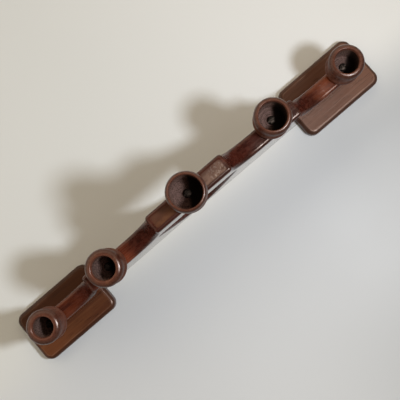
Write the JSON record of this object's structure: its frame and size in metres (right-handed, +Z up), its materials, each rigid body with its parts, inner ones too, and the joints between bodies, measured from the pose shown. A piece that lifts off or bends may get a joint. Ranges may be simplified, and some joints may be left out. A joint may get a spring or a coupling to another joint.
{
  "type": "dip pen holder",
  "caption": "Stepped wooden desk holder for dip pens: turned cup sockets on a tiered board with a hand hole, standing on rounded foot plates.",
  "frame": {"origin": "centre of the footprint, on the plane the foot plates stand on", "axes": "+X along the row of sockets, +Y across the board, +Z up"},
  "size_m": [0.39, 0.0506, 0.1453],
  "materials": {
    "board_wood": "dark red-brown stain under gloss lacquer",
    "foot_wood": "dark red-brown stain under gloss lacquer",
    "cup_wood": "dark red-brown stain under gloss lacquer, drier inside the sockets",
    "cup_screw_steel": "dull",
    "foot_screw_steel": "dull"
  },
  "bodies": {
    "root": {"stepped_board": "board_wood", "foot_plate_left": "foot_wood", "foot_plate_right": "foot_wood", "cup_outer_left": "cup_wood", "cup_inner_left": "cup_wood", "cup_centre": "cup_wood", "cup_inner_right": "cup_wood", "cup_outer_right": "cup_wood", "cup_screw_outer_left": "cup_screw_steel", "cup_screw_inner_left": "cup_screw_steel", "cup_screw_centre": "cup_screw_steel", "cup_screw_inner_right": "cup_screw_steel", "cup_screw_outer_right": "cup_screw_steel", "foot_screw_left_1": "foot_screw_steel", "foot_screw_left_2": "foot_screw_steel", "foot_screw_right_1": "foot_screw_steel", "foot_screw_right_2": "foot_screw_steel"}
  },
  "joints": []
}
